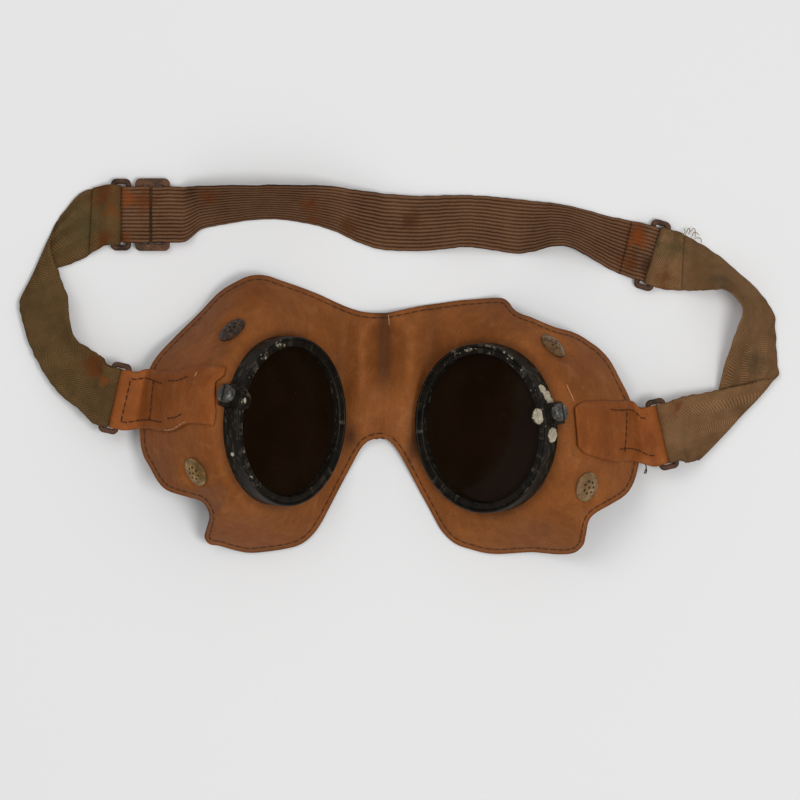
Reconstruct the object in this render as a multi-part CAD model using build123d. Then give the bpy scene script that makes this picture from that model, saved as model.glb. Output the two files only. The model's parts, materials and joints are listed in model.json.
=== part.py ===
from build123d import *
import os
from math import acos, atan2, ceil, cos, degrees, exp, hypot, pi, radians, sin, sqrt

# Leather glacier goggles lying face up, in millimetres. +X runs along the strap to the wearer's left,
# +Y to the forehead and +Z out of the lenses. The shapes below are laid out about the point where
# the nose bridge meets the surface, and place() moves them to the part's own origin.
ORIGIN_SHIFT = (-4.37, -18.65, 0.0)  # from the bridge to the middle of the whole footprint

LEATHER = 1.6        # mask leather
TEMPLE_RISE = 8.0    # the temple edges stand this far off the surface
BRIDGE_RISE = 3.0    # and so does the nose bridge
EDGE_ARCHES = [((-62, -24), 21.0), ((66, -31), 20.0), ((50, 33), 16.0), ((-44, 43), 8.0)]
ARCH_SPREAD = 9.0    # the edge is arched off the surface near each vent
HEM_START = 0.88     # the slope of the mask ends here, on its way from cup (0) to edge (1)
SWELL = 0.4          # how much the leather bulges between cup and edge
OUTLINE_STEPS = 46   # straight lengths that stand for each half's curved edge
BRIDGE_STEPS = 5     # and for the crease down the nose bridge
SLOPE_RINGS = (0.0, 0.3, 0.6, HEM_START, 1.0)

CUP_R = 27.05        # outside of the metal eyecup
CUP_WALL = 1.0
CUP_DEPTH = 5.8      # the wall stands this far off the leather
CUP_FLOOR = 1.0
RIM_ROUNDING = 0.4
CUP_SIGHT_R = 22.5   # opening through the cup's floor
NECK_R = 24.6        # tube that passes through the leather
NECK_WALL = 1.0
NECK_DROP = 3.0
LEATHER_HOLE_R = 25.1
SEAT_R = 28.5        # flat leather round the cup
SEAT_SHOULDER = 2.5  # extra flat leather on the temple side
BACK_RING_R = 26.9
BACK_RING_THICKNESS = 0.8
LENS_R = 25.9
LENS_THICKNESS = 2.0
BEZEL_R = 25.95
BEZEL_SIGHT_R = 23.9
BEZEL_BASE = 3.1
BEZEL_TOP = 5.6
EAR_R = 2.9          # rounded ear on the bezel, under the clamp screw
EAR_BASE = 4.2
EAR_TOP = 5.3

BOSS_WIDTH = 7.0     # block on the cup wall that the clamp screw threads through
BOSS_REACH = 30.2
SCREW_HEAD_R = 2.9
SCREW_HEAD = 2.4
SCREW_R = 1.25
SCREW_CLEARANCE = 0.05
SCREW_HEIGHT = 3.3
SCREW_TIP = 26.02    # how far from the cup's axis the tip stops
SLOT_WIDTH = 0.8
SLOT_DEPTH = 0.9

VENT_R = 4.75
VENT_FLANGE = 0.6
VENT_DOME_R = 4.4
VENT_DOME = 1.0
VENT_NECK_R = 3.5
VENT_BORE_R = 3.0
VENT_HOLE_R = 0.45
VENT_HOLE_CIRCLE = 2.0
VENT_HOLES = 7
VENT_SINK = 0.35     # the cap beds this far into the leather
VENT_GRIP = 1.15     # leather left between cap and washer
WASHER_R = 4.8
WASHER_THICKNESS = 0.6

WIRE_R = 0.9         # rectangular wire loops
LOOP_LENGTH = 21.4
BAR_SPACING = 4.8
LOOP_CORNER = 1.0
WRAP_CLEARANCE = 0.1
LEVEL_RUN = 2.4      # a band leaves its loop level for this far
TAB_RING_HEIGHT = 9.2
STRAP_RING_HEIGHT = 2.3
TAPE_WIDTH = 19.2    # cotton webbing and tab
TAPE = 1.1           # thickness of webbing and tab
ELASTIC_WIDTH = 18.0
ELASTIC = 1.0
DOUBLED_END = -66.0  # where the elastic's doubled end stops, past the slider
TAB_GAP = 0.9        # the tab lies this far above the mask's leather

SLIDER_LENGTH = 23.4
SLIDER_WIDTH = 11.2
SLIDER_BAR = 2.4
SLIDER_CENTRE_BAR = 2.0
SLIDER_PLATE = 1.2
SLIDER_SLOT = ELASTIC_WIDTH + 0.8
SLIDER_X = -75.25

# Where each cup sits: the middle of its seat, its tilt, and the compass direction it leans in.
EYES = {
    "left": {"seat": Vector(-34.2, 1.5, 24.3), "tilt": 51.0, "lean": -3.5, "screw": -14.0},
    "right": {"seat": Vector(33.6, -0.7, 20.5), "tilt": 40.0, "lean": 185.0, "screw": 5.5},
}
# Edge of each half of the mask, from the top of the bridge, round the temple, to the nose arch.
EDGES = {
    "left": [(0, 36.1), (-5.1, 36.2), (-14.8, 39.0), (-27.7, 44.5), (-34.2, 46.7), (-41.2, 48.3),
             (-47.0, 46.7), (-53.5, 42.9), (-66.3, 30.0), (-75.8, 18.3), (-78.8, 4.0), (-78.4, -7.0),
             (-72.7, -18.3), (-63.1, -22.9), (-57.7, -25.5), (-56.6, -30.0), (-58.0, -35.8),
             (-54.0, -38.9), (-43.8, -41.2), (-30.9, -39.6), (-24.5, -36.1), (-14.8, -20.0),
             (-8.4, -8.0), (-4.6, -4.7), (0, -4.4)],
    "right": [(0, 36.1), (4.5, 37.0), (17.4, 39.3), (30.3, 40.6), (37.7, 40.9), (43.2, 35.8),
              (49.6, 33.2), (59.3, 30.0), (68.9, 24.5), (75.2, 14.8), (80.6, 2.0), (81.4, -9.0),
              (78.5, -20.3), (71.5, -25.4), (65.4, -29.0), (63.4, -36.5), (60.0, -41.1),
              (46.4, -41.0), (33.0, -41.2), (20.6, -37.1), (14.2, -27.4), (7.7, -15.4),
              (4.2, -8.4), (1.6, -5.2), (0, -4.4)],
}
VENTS = {"upper_left": (-49.0, 30.4), "lower_left": (-60.2, -14.7),
         "upper_right": (53.4, 25.3), "lower_right": (63.9, -19.5)}

# Wire loops: centre, and the direction of the bars in plan.
TAB_RINGS = {"left": (Vector(-87.0, 8.7, TAB_RING_HEIGHT), 77.5),
             "right": (Vector(88.7, -2.9, TAB_RING_HEIGHT), 103.1)}
STRAP_RINGS = {"left": (Vector(-85.4, 67.8, STRAP_RING_HEIGHT), 90.0),
               "right": (Vector(85.85, 54.75, STRAP_RING_HEIGHT), 73.6)}

# Webbing between the loops: pairs of points on its two edges, lower loop first. It folds over once.
WEBBINGS = {
    "left": [((-97.0, 3.6, 9.4), (-90.8, 21.4, 9.5)), ((-104.2, 9.4, 6.5), (-94.8, 24.4, 9.0)),
             ((-111.3, 19.0, 4.0), (-99.7, 28.0, 11.0)), ((-115.5, 28.0, 3.2), (-101.4, 33.2, 11.0)),
             ((-117.2, 34.5, 2.9), (-102.4, 41.2, 8.5)), ((-117.8, 38.3, 2.8), (-104.9, 48.0, 5.0)),
             ((-117.6, 40.3, 1.9), (-108.2, 58.3, 2.2)), ((-115.4, 42.9, 0.9), (-107.0, 63.5, 0.9)),
             ((-108.3, 49.3, 0.9), (-103.2, 69.6, 0.9)), ((-98.7, 53.2, 0.9), (-97.4, 75.5, 1.2)),
             ((-92.2, 56.4, 2.6), (-91.6, 77.2, 2.6))],
    "right": [((94.5, 8.8, 9.3), (96.4, -12.2, 9.3)), ((106.0, 11.0, 6.0), (100.4, -11.0, 6.5)),
              ((117.4, 13.5, 3.6), (102.6, -11.0, 4.4)), ((126.3, 15.8, 1.9), (103.9, -11.6, 2.6)),
              ((126.2, 19.0, 0.8), (105.2, -4.8, 1.0)), ((126.0, 24.2, 0.8), (105.8, 4.8, 1.4)),
              ((125.5, 30.6, 0.8), (108.4, 17.0, 6.0)), ((124.6, 36.4, 0.8), (112.6, 30.6, 14.0)),
              ((120.8, 42.0, 0.8), (114.3, 37.5, 17.5)), ((116.0, 47.0, 0.8), (111.8, 41.4, 18.0)),
              ((107.6, 54.1, 0.8), (107.8, 43.6, 16.5)), ((101.2, 58.6, 1.0), (101.2, 43.2, 12.0)),
              ((94.7, 62.0, 2.6), (93.6, 43.4, 4.6))],
}
# Elastic between the strap's two loops, left to right. It stands on edge over the left eye.
ELASTIC_PATH = [((-79.0, 76.8, 3.8), (-79.0, 58.8, 3.8)), ((-65.5, 76.8, 3.8), (-65.5, 58.8, 3.8)),
                ((-60.0, 76.8, 10.6), (-60.0, 63.0, 1.0)), ((-50.0, 76.8, 14.6), (-50.0, 65.3, 0.8)),
                ((-38.0, 76.8, 16.0), (-38.0, 66.6, 0.8)), ((-27.0, 76.7, 14.6), (-27.0, 65.4, 0.8)),
                ((-18.0, 76.6, 12.0), (-18.0, 63.1, 0.8)), ((-8.0, 75.4, 8.0), (-9.0, 59.0, 0.8)),
                ((-1.9, 74.7, 4.4), (-3.5, 57.0, 1.0)), ((11.0, 73.8, 2.2), (11.0, 56.1, 1.6)),
                ((27.1, 74.1, 1.0), (27.1, 57.2, 5.0)), ((43.2, 72.7, 1.6), (42.6, 55.3, 1.6)),
                ((59.2, 70.5, 1.2), (57.8, 57.4, 10.5)), ((72.1, 68.3, 1.6), (67.4, 54.6, 9.0)),
                ((80.6, 65.6, 2.9), (76.0, 49.2, 3.6))]


def smooth(t):
    t = min(max(t, 0.0), 1.0)
    return t * t * (3 - 2 * t)


def place(shape):
    return Pos(*ORIGIN_SHIFT) * shape


def compass(angle):
    return Vector(cos(radians(angle)), sin(radians(angle)), 0)


def seat_normal(eye):
    tilt = radians(eye["tilt"])
    return compass(eye["lean"]) * sin(tilt) + Vector(0, 0, cos(tilt))


def seat_plane(eye):
    """Plane of the leather under a cup. Its x axis climbs to the temple, its z axis leaves the face."""
    tilt = radians(eye["tilt"])
    uphill = compass(eye["lean"]) * -cos(tilt) + Vector(0, 0, sin(tilt))
    return Plane(origin=eye["seat"], x_dir=uphill, z_dir=seat_normal(eye))


def screw_frame(eye):
    """Place of the seat, turned so that its x axis points at the clamp screw."""
    return seat_plane(eye).location * Rot(0, 0, eye["screw"])


# ---- the mask's shape ----

def seat_point(eye, angle, extra=0.0, radius=None):
    """Point on the seat plane, in the plan direction of angle, at the seat's own radius."""
    normal = seat_normal(eye)
    across = Vector(cos(angle), sin(angle), 0)
    along = across + Vector(0, 0, -across.dot(normal) / normal.Z)
    uphill = -cos(angle - radians(eye["lean"]))
    reach = radius if radius else SEAT_R + SEAT_SHOULDER * max(0.0, uphill)
    return eye["seat"] + along * ((reach + extra) / along.length)


def edge_top(x, y):
    """Height of the leather's outer face along the mask's edge."""
    temple = smooth((abs(x) - 58) / 18)
    bridge = smooth((14 - abs(x)) / 14)
    arches = sum(height * exp(-0.5 * (hypot(x - at[0], y - at[1]) / ARCH_SPREAD) ** 2)
                 for at, height in EDGE_ARCHES)
    return LEATHER + TEMPLE_RISE * temple + BRIDGE_RISE * bridge + arches


def half_outline(side):
    """Points on the edge of one half, and then back up the crease of the nose bridge."""
    curve = Spline(*[Vector(x, y, 0) for x, y in EDGES[side]])
    points = [curve @ (i / OUTLINE_STEPS) for i in range(OUTLINE_STEPS + 1)]
    low, high = points[-1].Y, points[0].Y
    crease = [Vector(0, low + (high - low) * i / BRIDGE_STEPS, 0) for i in range(1, BRIDGE_STEPS)]
    return points + crease


OUTLINES = {side: half_outline(side) for side in EYES}


def edge_distance(side, angle):
    """Distance in plan from the middle of a cup's seat to the outline."""
    eye, outline = EYES[side], OUTLINES[side]
    across = Vector(cos(angle), sin(angle), 0)
    for start, end in zip(outline, outline[1:] + outline[:1]):
        a = Vector(start.X - eye["seat"].X, start.Y - eye["seat"].Y, 0)
        b = Vector(end.X - eye["seat"].X, end.Y - eye["seat"].Y, 0)
        side_a, side_b = across.cross(a).Z, across.cross(b).Z
        if side_a * side_b <= 0 and side_a != side_b:
            hit = a + (b - a) * (side_a / (side_a - side_b))
            if hit.dot(across) > 0:
                return hit.length
    raise ValueError("no edge in that direction")


def slope_point(inner, edge, u):
    """Point on the leather's outer face, from the cup's seat (u=0) to the mask's edge (u=1)."""
    fall = max(0.0, 1 - u / HEM_START)
    swell = fall * (1 + SWELL * (1 - fall))
    flat = inner + (edge - inner) * u
    return Vector(flat.X, flat.Y, edge.Z + (inner.Z - edge.Z) * swell)


def skin(x, y):
    """Point on the leather's outer face above a place in plan."""
    side = "left" if x < 0 else "right"
    eye = EYES[side]
    offset = Vector(x - eye["seat"].X, y - eye["seat"].Y, 0)
    angle = atan2(offset.Y, offset.X)
    inner = seat_point(eye, angle)
    start = hypot(inner.X - eye["seat"].X, inner.Y - eye["seat"].Y)
    reach = edge_distance(side, angle)
    edge = Vector(eye["seat"].X + reach * cos(angle), eye["seat"].Y + reach * sin(angle), 0)
    edge.Z = edge_top(edge.X, edge.Y)
    return slope_point(inner, edge, (offset.length - start) / (reach - start))


def skin_normal(x, y, step=2.0):
    across = skin(x + step, y) - skin(x - step, y)
    up = skin(x, y + step) - skin(x, y - step)
    return across.cross(up).normalized()


def faceted_solid(triangles):
    faces = [Face(Wire.make_polygon(corners, close=True)) for corners in triangles]
    return Solid(Shell(faces))


def quad(a, b, c, d):
    return [(a, b, c), (a, c, d)]


def half_rings(side):
    """Rings of points on the outer face of one half, from the hole under the cup to the edge."""
    eye = EYES[side]
    rings = [[] for _ in range(len(SLOPE_RINGS) + 1)]
    for point in OUTLINES[side]:
        angle = atan2(point.Y - eye["seat"].Y, point.X - eye["seat"].X)
        inner = seat_point(eye, angle)
        edge = Vector(point.X, point.Y, edge_top(point.X, point.Y))
        rings[0].append(seat_point(eye, angle, radius=LEATHER_HOLE_R))
        for ring, u in zip(rings[1:], SLOPE_RINGS):
            ring.append(slope_point(inner, edge, u))
    return rings


def inner_face(rings, normal):
    """The same rings on the leather's other face, one thickness in from both neighbouring bands."""
    count = len(rings[0])

    def band_normal(band, k):
        along = rings[band][(k + 1) % count] - rings[band][k - 1]
        out = rings[band + 1][k] - rings[band][k]
        face = along.cross(out).normalized()
        return face if face.Z > 0 else face * -1

    under = [[p - normal * LEATHER for p in rings[0]]]
    for band in range(1, len(rings) - 1):
        row = []
        for k in range(count):
            first = normal if band == 1 else band_normal(band - 1, k)
            second = band_normal(band, k)
            step = (first + second) * (LEATHER / (1 + first.dot(second)))
            low = rings[band][k] - step
            row.append(Vector(low.X, low.Y, max(low.Z, 0.0)))
        under.append(row)
    under.append([p - Vector(0, 0, LEATHER) for p in rings[-1]])
    return under


def half_triangles(side):
    eye = EYES[side]
    outer = half_rings(side)
    under = inner_face(outer, seat_normal(eye))
    count = len(outer[0])
    triangles = []
    for k in range(count):
        n = (k + 1) % count
        for face in (outer, under):
            for ring, wider in zip(face, face[1:]):
                triangles += quad(ring[k], ring[n], wider[n], wider[k])
        triangles += quad(outer[0][k], outer[0][n], under[0][n], under[0][k])
        if k < OUTLINE_STEPS:
            triangles += quad(outer[-1][k], outer[-1][n], under[-1][n], under[-1][k])
    return triangles


def vent_plane(name):
    x, y = VENTS[name]
    normal = skin_normal(x, y)
    return Plane(origin=skin(x, y) - normal * VENT_SINK, z_dir=normal)


def largest(shape):
    """The biggest solid, without any sliver that a cut has freed."""
    return shape.solids().sort_by(SortBy.VOLUME)[-1]


def mask_leather():
    mask = faceted_solid(half_triangles("left") + half_triangles("right"))
    for name in VENTS:
        bed = Pos(0, 0, 3) * Cylinder(VENT_R + 0.15, 6)
        hole = Cylinder(VENT_NECK_R + 0.05, 12)
        washer_bed = Pos(0, 0, -VENT_GRIP - 1.6) * Cylinder(WASHER_R + 0.15, 3.2)
        mask = largest(mask - vent_plane(name) * (bed + hole + washer_bed))
    return mask


# ---- eyecups ----

def tube(outer_r, inner_r, low, high):
    ring = Cylinder(outer_r, high - low) - Cylinder(inner_r, high - low + 1)
    return Pos(0, 0, (low + high) / 2) * ring


def disc(radius, low, high):
    return Pos(0, 0, (low + high) / 2) * Cylinder(radius, high - low)


def radial(radius, low, high):
    """A round bar along the x axis."""
    return Pos((low + high) / 2, 0, SCREW_HEIGHT) * (Rot(0, 90, 0) * Cylinder(radius, high - low))


def eyecup(eye):
    cup = tube(CUP_R, CUP_R - CUP_WALL, 0, CUP_DEPTH)
    cup = fillet(cup.edges().group_by(Axis.Z)[-1], RIM_ROUNDING)
    cup += tube(CUP_R, CUP_SIGHT_R, 0, CUP_FLOOR)
    cup += tube(NECK_R, NECK_R - NECK_WALL, -NECK_DROP, CUP_FLOOR)
    cup -= Cylinder(NECK_R - NECK_WALL, 2 * NECK_DROP, align=(Align.CENTER, Align.CENTER, Align.MAX))
    boss_start = CUP_R - CUP_WALL / 2
    boss = Box(BOSS_REACH - boss_start, BOSS_WIDTH, CUP_DEPTH - 0.4)
    cup += Pos((BOSS_REACH + boss_start) / 2, 0, CUP_DEPTH / 2) * boss
    cup -= radial(SCREW_R + SCREW_CLEARANCE, CUP_SIGHT_R, BOSS_REACH + 1)
    return screw_frame(eye) * cup


def cup_back_ring(eye):
    low = -LEATHER - BACK_RING_THICKNESS
    return seat_plane(eye) * tube(BACK_RING_R, NECK_R, low, -LEATHER)


def lens(eye):
    return seat_plane(eye) * disc(LENS_R, CUP_FLOOR, CUP_FLOOR + LENS_THICKNESS)


def lens_bezel(eye):
    ring = tube(BEZEL_R, BEZEL_SIGHT_R, BEZEL_BASE, BEZEL_TOP)
    ring = fillet(ring.edges().group_by(Axis.Z)[-1], RIM_ROUNDING)
    ear = Pos(BEZEL_SIGHT_R, 0, 0) * disc(EAR_R, EAR_BASE, EAR_TOP)
    return screw_frame(eye) * (ring + (ear & disc(BEZEL_R - RIM_ROUNDING, EAR_BASE, EAR_TOP)))


def clamp_screw(eye):
    head_start = BOSS_REACH + 0.1
    head = radial(SCREW_HEAD_R, head_start, head_start + SCREW_HEAD)
    rim = head.edges().filter_by(GeomType.CIRCLE).sort_by(Axis.X)[-1]
    head = fillet(rim, 1.0)
    slot = Box(SLOT_DEPTH, 3 * SCREW_HEAD_R, SLOT_WIDTH)
    head -= Pos(head_start + SCREW_HEAD - SLOT_DEPTH / 2, 0, SCREW_HEIGHT) * slot
    return screw_frame(eye) * (head + radial(SCREW_R, SCREW_TIP, head_start + 0.2))


# ---- vents ----

def vent_cap(name):
    ball_r = (VENT_DOME_R ** 2 + VENT_DOME ** 2) / (2 * VENT_DOME)
    ball = Pos(0, 0, VENT_FLANGE + VENT_DOME - ball_r) * Sphere(ball_r)
    cap = disc(VENT_R, 0, VENT_FLANGE)
    cap += ball & disc(VENT_DOME_R, 0.1, VENT_FLANGE + VENT_DOME + 1)
    cap += disc(VENT_NECK_R, -VENT_GRIP - WASHER_THICKNESS - 0.4, 0.1)
    cap -= disc(VENT_BORE_R, -6, VENT_FLANGE)
    air_hole = Pos(0, 0, VENT_FLANGE) * Cylinder(VENT_HOLE_R, 4)
    cap -= air_hole
    cap -= PolarLocations(VENT_HOLE_CIRCLE, VENT_HOLES) * air_hole
    return vent_plane(name) * cap


def vent_washer(name):
    return vent_plane(name) * tube(WASHER_R, VENT_NECK_R, -VENT_GRIP - WASHER_THICKNESS, -VENT_GRIP)


# ---- straps ----

def ribbon(stations, thickness):
    """Flat band of even thickness through pairs of edge points, one pair at each station."""
    pairs = [(Vector(*a), Vector(*b)) for a, b in stations]
    middles = [(a + b) / 2 for a, b in pairs]
    upper, lower = [], []
    for i, (a, b) in enumerate(pairs):
        along = middles[min(i + 1, len(pairs) - 1)] - middles[max(i - 1, 0)]
        half = (b - a).cross(along).normalized() * (thickness / 2)
        upper.append((a + half, b + half))
        lower.append((a - half, b - half))
    triangles = []
    for i in range(len(pairs) - 1):
        for face in (upper, lower):
            triangles += quad(face[i][0], face[i][1], face[i + 1][1], face[i + 1][0])
        for edge in (0, 1):
            triangles += quad(upper[i][edge], upper[i + 1][edge], lower[i + 1][edge], lower[i][edge])
    for end in (0, -1):
        triangles += quad(upper[end][0], upper[end][1], lower[end][1], lower[end][0])
    return faceted_solid(triangles)


def bar_plane(ring, outward):
    """Plane at the middle of one long bar of a loop, z along the bar, x away from the mask's middle."""
    centre, angle = ring
    along = compass(angle)
    away = along.cross(Vector(0, 0, 1)) * (1 if centre.X > 0 else -1)
    return Plane(origin=centre + away * (outward * BAR_SPACING / 2), x_dir=away, z_dir=along)


def wire_ring(ring):
    centre, angle = ring
    plan = Plane(origin=centre, x_dir=compass(angle), z_dir=(0, 0, 1))
    path = plan * RectangleRounded(LOOP_LENGTH, BAR_SPACING, LOOP_CORNER).wire()
    section = Plane(origin=path @ 0, z_dir=path % 0) * Circle(WIRE_R)
    return sweep(section, path=path)


def wrap(ring, outward, width, thickness):
    """Sleeve of tape or leather round one bar of a loop."""
    inner = WIRE_R + WRAP_CLEARANCE
    sleeve = Cylinder(inner + thickness, width) - Cylinder(inner, width + 1)
    return bar_plane(ring, outward) * sleeve


def wrap_station(ring, outward, width, thickness, out=0.0):
    """Edge points of a band on top of its sleeve, or a little way out from there. Lower edge first."""
    plane = bar_plane(ring, outward)
    rise = Vector(0, 0, WIRE_R + WRAP_CLEARANCE + thickness / 2)
    middle = plane.origin + rise + plane.x_dir * (outward * out)
    half = plane.z_dir * (width / 2)
    ends = sorted([middle - half, middle + half], key=lambda p: p.Y)
    return tuple(ends[0]), tuple(ends[1])


def wrap_stations(ring, outward, width, thickness):
    """The band's first two stations: over the bar, and just past it, still level."""
    return [wrap_station(ring, outward, width, thickness, out) for out in (0.0, LEVEL_RUN)]


def turned_over(stations):
    """The same stations with the other edge first."""
    return [pair[::-1] for pair in stations]


def tab_stations(side):
    """The tab runs up the mask's side, clear of the leather all the way."""
    lines = {"left": [((-79.6, 0.0), (-78.0, 18.6)), ((-73.0, -1.0), (-70.5, 18.8)),
                      ((-66.0, -1.2), (-64.0, 18.8)), ((-60.0, -0.6), (-58.5, 18.6)),
                      ((-56.2, -0.4), (-53.8, 18.4))],
             "right": [((81.2, -11.6), (80.0, 7.2)), ((76.0, -10.4), (75.0, 6.6)),
                       ((68.5, -8.2), (67.5, 5.8)), ((62.5, -6.6), (61.5, 5.4))]}
    stations = []
    for low, high in lines[side]:
        middle = ((low[0] + high[0]) / 2, (low[1] + high[1]) / 2)
        ends = [skin(*p).Z if abs(p[0]) < 77 else edge_top(77, 0) for p in (low, middle, high)]
        crown = max(0.0, ends[1] - (ends[0] + ends[2]) / 2)
        normal = skin_normal(*middle) if abs(middle[0]) < 74 else Vector(0, 0, 1)
        lift = crown + (TAB_GAP + TAPE / 2) / max(normal.Z, 0.4)
        stations.append(((*low, ends[0] + lift), (*high, ends[2] + lift)))
    return stations


def tab(side):
    ring = TAB_RINGS[side]
    start = wrap_stations(ring, -1, TAPE_WIDTH, TAPE)
    return ribbon(start + tab_stations(side), TAPE) + wrap(ring, -1, TAPE_WIDTH, TAPE)


def webbing(side):
    first = wrap_stations(TAB_RINGS[side], 1, TAPE_WIDTH, TAPE)
    last = wrap_stations(STRAP_RINGS[side], 1, TAPE_WIDTH, TAPE)[::-1]
    if side == "right":
        first, last = turned_over(first), turned_over(last)
    band = ribbon(first + WEBBINGS[side] + last, TAPE)
    for ring in (TAB_RINGS[side], STRAP_RINGS[side]):
        band += wrap(ring, 1, TAPE_WIDTH, TAPE)
    return band


def elastic_band():
    """Elastic round both strap loops. At the left loop it runs back under itself, past the slider."""
    first, last = [turned_over(wrap_stations(ring, -1, ELASTIC_WIDTH, ELASTIC))
                   for ring in STRAP_RINGS.values()]
    band = ribbon(first + ELASTIC_PATH + last[::-1], ELASTIC)
    for ring in STRAP_RINGS.values():
        band += wrap(ring, -1, ELASTIC_WIDTH, ELASTIC)
    loop = STRAP_RINGS["left"][0]
    start = loop.X + BAR_SPACING / 2 + 0.3
    level = STRAP_RING_HEIGHT - WIRE_R - WRAP_CLEARANCE - ELASTIC / 2 + 0.03
    doubled = [((x, loop.Y + ELASTIC_WIDTH / 2, level), (x, loop.Y - ELASTIC_WIDTH / 2, level))
               for x in (start, DOUBLED_END)]
    return band + ribbon(doubled, ELASTIC)


def slider_buckle():
    """Flat frame with a centre bar, between the elastic's two layers."""
    slot_width = (SLIDER_WIDTH - SLIDER_CENTRE_BAR) / 2 - SLIDER_BAR
    plate = RectangleRounded(SLIDER_WIDTH, SLIDER_LENGTH, 1.8)
    for side in (-1, 1):
        plate -= Pos(side * (SLIDER_CENTRE_BAR + slot_width) / 2, 0) * Rectangle(slot_width, SLIDER_SLOT)
    buckle = extrude(plate, SLIDER_PLATE)
    buckle = fillet(buckle.edges().group_by(Axis.Z)[-1], RIM_ROUNDING)
    return Pos(SLIDER_X, STRAP_RINGS["left"][0].Y, STRAP_RING_HEIGHT - SLIDER_PLATE / 2) * buckle


# ---- write every piece to its own file ----

def pieces():
    parts = {"mask_leather": mask_leather(), "elastic_band": elastic_band(),
             "slider_buckle": slider_buckle()}
    for side, eye in EYES.items():
        parts[f"eyecup_{side}"] = eyecup(eye)
        parts[f"cup_back_ring_{side}"] = cup_back_ring(eye)
        parts[f"lens_{side}"] = lens(eye)
        parts[f"lens_bezel_{side}"] = lens_bezel(eye)
        parts[f"clamp_screw_{side}"] = clamp_screw(eye)
        parts[f"tab_{side}"] = tab(side)
        parts[f"tab_ring_{side}"] = wire_ring(TAB_RINGS[side])
        parts[f"strap_ring_{side}"] = wire_ring(STRAP_RINGS[side])
        parts[f"webbing_{side}"] = webbing(side)
    for name in VENTS:
        parts[f"vent_cap_{name}"] = vent_cap(name)
        parts[f"vent_washer_{name}"] = vent_washer(name)
    return parts


def main():
    os.makedirs("parts", exist_ok=True)
    for node, shape in pieces().items():
        export_step(place(shape), f"parts/{node}.step")


main()
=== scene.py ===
import json
from math import cos, pi, radians, sin

import bmesh
import bpy
import numpy as np
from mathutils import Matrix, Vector, noise
from mathutils.bvhtree import BVHTree


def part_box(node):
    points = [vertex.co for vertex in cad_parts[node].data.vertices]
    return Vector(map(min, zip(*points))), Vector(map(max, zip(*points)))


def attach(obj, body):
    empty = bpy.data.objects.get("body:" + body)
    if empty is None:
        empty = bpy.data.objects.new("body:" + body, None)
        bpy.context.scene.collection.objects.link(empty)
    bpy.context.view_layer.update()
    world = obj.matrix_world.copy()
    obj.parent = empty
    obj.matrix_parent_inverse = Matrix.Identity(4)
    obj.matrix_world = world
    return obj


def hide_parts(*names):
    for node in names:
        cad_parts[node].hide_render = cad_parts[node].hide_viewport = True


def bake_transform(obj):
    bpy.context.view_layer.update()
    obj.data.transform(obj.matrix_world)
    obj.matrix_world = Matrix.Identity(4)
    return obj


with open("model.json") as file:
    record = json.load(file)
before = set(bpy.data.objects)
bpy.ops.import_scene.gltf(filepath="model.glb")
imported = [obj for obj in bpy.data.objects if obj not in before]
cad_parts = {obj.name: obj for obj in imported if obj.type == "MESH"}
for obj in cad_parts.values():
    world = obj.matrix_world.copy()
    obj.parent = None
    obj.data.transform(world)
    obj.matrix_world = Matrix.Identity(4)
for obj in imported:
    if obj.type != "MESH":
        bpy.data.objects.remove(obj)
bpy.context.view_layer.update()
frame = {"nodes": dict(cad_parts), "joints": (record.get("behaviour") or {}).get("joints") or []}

# Shapes are laid out in millimetres about the point where the nose bridge meets the surface, with
# +X to the wearer's left, +Y to the forehead and +Z out of the lenses. mesh_object() moves them into
# the part's own frame, in metres.
MM = 0.001
BRIDGE = np.array([-4.37, -18.65, 0.0])

LEATHER = 1.6
TEMPLE_RISE = 8.0
BRIDGE_RISE = 3.0
EDGE_ARCHES = [((-62, -24), 21.0), ((66, -31), 20.0), ((50, 33), 16.0), ((-44, 43), 8.0)]
ARCH_SPREAD = 9.0
HEM_START = 0.985
SWELL = 0.4
SEAT_R = 28.5
SEAT_SHOULDER = 2.5
LEATHER_HOLE_R = 25.1
LENS_MIDDLE = 2.0      # the lens's middle stands this far off the leather
STITCH_INSET = 1.55
STITCH_PITCH = 2.7
STITCH_LENGTH = 2.1
THREAD_R = 0.19

WIRE_R = 0.9
BAR_SPACING = 4.8
TAPE_WIDTH = 19.2
TAPE = 1.1
ELASTIC_WIDTH = 18.0
ELASTIC = 1.0
WRAP_CLEARANCE = 0.1
WINDOW_BULGE = 0.5     # a band stands this far off the bar, inside the loop
LEVEL_RUN = 2.4        # a band leaves its loop level for this far
DOUBLED_END = -66.0    # the elastic's doubled end stops here, past the slider
ELASTIC_RIBS = 15
RIB_HEIGHT = 0.2
TAB_REST = TAPE / 2 + 0.12     # a tab's middle lies this far off the leather

SPOKES = 330           # points round the edge of each half of the mask
CREASE = 70            # points up the crease between the halves
LOWEST_FACE = 1.45     # the mask's outer face comes no lower than this
STRAND_SIDES = 6

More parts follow.
